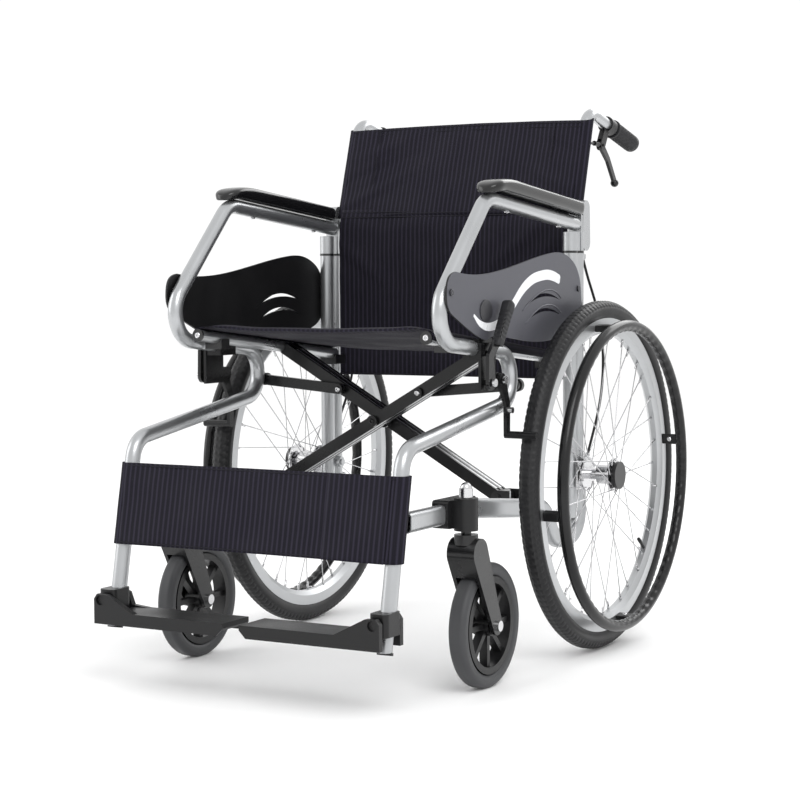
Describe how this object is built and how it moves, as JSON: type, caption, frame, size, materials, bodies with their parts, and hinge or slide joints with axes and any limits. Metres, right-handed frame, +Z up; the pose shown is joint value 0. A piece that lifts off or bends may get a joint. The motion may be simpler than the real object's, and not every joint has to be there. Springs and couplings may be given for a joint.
{
  "type": "folding manual wheelchair",
  "caption": "Folding manual wheelchair with spoked rear wheels, hand rims, swivel casters, cross-braced tube frame, padded armrests and swing-up footplates.",
  "frame": {"origin": "on the ground under the middle of the bounding box", "axes": "+X to the chair's left, -Y to its front, +Z up"},
  "size_m": [0.722, 1.011, 0.9532],
  "materials": {
    "frame_silver": "satin",
    "black_rubber": "matt",
    "black_plastic": "satin",
    "black_metal": "semi-gloss",
    "arm_pad": "matt",
    "guard_black": "satin",
    "caster_grey": "matt",
    "tyre_black": "matt",
    "rim_silver": "satin",
    "hub_metal": "polished",
    "spoke_steel": "bright",
    "brace_black": "satin",
    "cloth": "woven with thin stripes"
  },
  "bodies": {
    "frame_left": {"side_frame_left": "frame_silver", "rear_post_left": "frame_silver", "lower_rail_left": "frame_silver", "lower_cable_left": "black_plastic", "armrest_pad_left": "arm_pad", "side_guard_left": "guard_black", "caster_housing_left": "black_plastic", "brake_bracket_left": "black_metal", "foot_hinge_left": "black_plastic", "seat_sling": "cloth", "back_lower": "cloth", "calf_strap": "cloth"},
    "back_left": {"upper_cane_left": "frame_silver", "handle_grip_left": "black_rubber", "attendant_bracket_left": "black_plastic", "upper_cable_left": "black_plastic", "back_upper": "cloth"},
    "attendant_lever_left": {"attendant_lever_left": "black_metal"},
    "rear_wheel_left": {"rear_tyre_left": "tyre_black", "rear_rim_left": "rim_silver", "rear_hub_left": "hub_metal", "spokes_left": "spoke_steel", "pushrim_left": "black_plastic"},
    "caster_swivel_left": {"caster_fork_left": "black_metal"},
    "caster_wheel_left": {"caster_wheel_left": "black_plastic", "caster_tyre_left": "caster_grey"},
    "brake_lever_left": {"brake_lever_left": "black_metal"},
    "brake_shoe_left": {"brake_shoe_left": "black_metal"},
    "footplate_left": {"footplate_left": "black_plastic"},
    "link_left": {"stabiliser_link_left": "black_metal"},
    "frame_right": {"side_frame_right": "frame_silver", "rear_post_right": "frame_silver", "lower_rail_right": "frame_silver", "lower_cable_right": "black_plastic", "armrest_pad_right": "arm_pad", "side_guard_right": "guard_black", "caster_housing_right": "black_plastic", "brake_bracket_right": "black_metal", "foot_hinge_right": "black_plastic"},
    "back_right": {"upper_cane_right": "frame_silver", "handle_grip_right": "black_rubber", "attendant_bracket_right": "black_plastic", "upper_cable_right": "black_plastic"},
    "attendant_lever_right": {"attendant_lever_right": "black_metal"},
    "rear_wheel_right": {"rear_tyre_right": "tyre_black", "rear_rim_right": "rim_silver", "rear_hub_right": "hub_metal", "spokes_right": "spoke_steel", "pushrim_right": "black_plastic"},
    "caster_swivel_right": {"caster_fork_right": "black_metal"},
    "caster_wheel_right": {"caster_wheel_right": "black_plastic", "caster_tyre_right": "caster_grey"},
    "brake_lever_right": {"brake_lever_right": "black_metal"},
    "brake_shoe_right": {"brake_shoe_right": "black_metal"},
    "footplate_right": {"footplate_right": "black_plastic"},
    "link_right": {"stabiliser_link_right": "black_metal"},
    "brace_front": {"front_brace": "brace_black", "seat_rail_left": "frame_silver"},
    "brace_rear": {"rear_brace": "brace_black", "seat_rail_right": "frame_silver"}
  },
  "joints": [
    {"name": "fold", "type": "hinge", "parent": "frame_left", "child": "brace_rear", "pos_m": [0.217, -0.0105, 0.282], "axis": [0, 1, 0], "range_deg": [0, 36], "deforming": ["seat_sling", "back_upper", "back_lower", "calf_strap"]},
    {"name": "brace_cross", "type": "hinge", "parent": "brace_rear", "child": "brace_front", "pos_m": [0, -0.0325, 0.407], "axis": [0, 1, 0], "range_deg": [-72.01, 0]},
    {"name": "right_side_fold", "type": "hinge", "parent": "brace_front", "child": "frame_right", "pos_m": [-0.217, -0.0545, 0.282], "axis": [0, 1, 0], "range_deg": [0, 36.01]},
    {"name": "link_pivot_left", "type": "hinge", "parent": "frame_left", "child": "link_left", "pos_m": [0.25, -0.0325, 0.4719], "axis": [0, 1, 0], "range_deg": [0, 59.66]},
    {"name": "footplate_flip_left", "type": "hinge", "parent": "frame_left", "child": "footplate_left", "pos_m": [0.25, -0.4695, 0.143], "axis": [0, 1, 0], "range_deg": [0, 90.01]},
    {"name": "back_fold_left", "type": "hinge", "parent": "frame_left", "child": "back_left", "pos_m": [0.237, 0.229, 0.752], "axis": [1, 0, 0], "range_deg": [-100, 0]},
    {"name": "attendant_lever_left_squeeze", "type": "hinge", "parent": "back_left", "child": "attendant_lever_left", "pos_m": [0.237, 0.3485, 0.89], "axis": [1, 0, 0], "range_deg": [0, 18], "stiffness_Nm_per_rad": 1, "springref_deg": -17.19},
    {"name": "rear_wheel_left_spin", "type": "hinge", "parent": "frame_left", "child": "rear_wheel_left", "pos_m": [0.303, 0.2005, 0.305], "axis": [1, 0, 0], "continuous": true},
    {"name": "caster_left_swivel", "type": "hinge", "parent": "frame_left", "child": "caster_swivel_left", "pos_m": [0.2786, -0.2625, 0.25], "axis": [0, 0, 1], "continuous": true},
    {"name": "caster_left_spin", "type": "hinge", "parent": "caster_swivel_left", "child": "caster_wheel_left", "pos_m": [0.2786, -0.2005, 0.1], "axis": [1, 0, 0], "continuous": true},
    {"name": "parking_brake_left", "type": "hinge", "parent": "frame_left", "child": "brake_lever_left", "pos_m": [0.28, -0.1765, 0.484], "axis": [1, 0, 0], "range_deg": [0, 55]},
    {"name": "brake_shoe_left_press", "type": "hinge", "parent": "frame_left", "child": "brake_shoe_left", "pos_m": [0.272, -0.1255, 0.486], "axis": [1, 0, 0], "range_deg": [0, 5.51]},
    {"name": "link_pivot_right", "type": "hinge", "parent": "frame_right", "child": "link_right", "pos_m": [-0.25, -0.0325, 0.4719], "axis": [0, 1, 0], "range_deg": [-59.66, 0]},
    {"name": "footplate_flip_right", "type": "hinge", "parent": "frame_right", "child": "footplate_right", "pos_m": [-0.25, -0.4695, 0.143], "axis": [0, 1, 0], "range_deg": [-90.01, 0]},
    {"name": "back_fold_right", "type": "hinge", "parent": "frame_right", "child": "back_right", "pos_m": [-0.237, 0.229, 0.752], "axis": [1, 0, 0], "range_deg": [-100.01, 0.01]},
    {"name": "attendant_lever_right_squeeze", "type": "hinge", "parent": "back_right", "child": "attendant_lever_right", "pos_m": [-0.237, 0.3485, 0.89], "axis": [1, 0, 0], "range_deg": [0, 18], "stiffness_Nm_per_rad": 1, "springref_deg": -17.19},
    {"name": "rear_wheel_right_spin", "type": "hinge", "parent": "frame_right", "child": "rear_wheel_right", "pos_m": [-0.303, 0.2005, 0.305], "axis": [1, 0, 0], "continuous": true},
    {"name": "caster_right_swivel", "type": "hinge", "parent": "frame_right", "child": "caster_swivel_right", "pos_m": [-0.2786, -0.2625, 0.25], "axis": [0, 0, 1], "continuous": true},
    {"name": "caster_right_spin", "type": "hinge", "parent": "caster_swivel_right", "child": "caster_wheel_right", "pos_m": [-0.2786, -0.2005, 0.1], "axis": [1, 0, 0], "continuous": true},
    {"name": "parking_brake_right", "type": "hinge", "parent": "frame_right", "child": "brake_lever_right", "pos_m": [-0.28, -0.1765, 0.484], "axis": [1, 0, 0], "range_deg": [0, 55]},
    {"name": "brake_shoe_right_press", "type": "hinge", "parent": "frame_right", "child": "brake_shoe_right", "pos_m": [-0.272, -0.1255, 0.486], "axis": [1, 0, 0], "range_deg": [0, 5.51]}
  ],
  "couplings": [
    {"joint": "brace_cross", "follows": "fold", "ratio": -2},
    {"joint": "right_side_fold", "follows": "fold", "ratio": 1},
    {"joint": "link_pivot_left", "follows": "fold", "ratio": 1.6569},
    {"joint": "footplate_flip_left", "follows": "fold", "ratio": 2.5},
    {"joint": "brake_shoe_left_press", "follows": "parking_brake_left", "ratio": 0.1},
    {"joint": "link_pivot_right", "follows": "fold", "ratio": -1.6569},
    {"joint": "footplate_flip_right", "follows": "fold", "ratio": -2.5},
    {"joint": "brake_shoe_right_press", "follows": "parking_brake_right", "ratio": 0.1},
    {"joint": "back_fold_right", "follows": "back_fold_left", "ratio": 1}
  ]
}
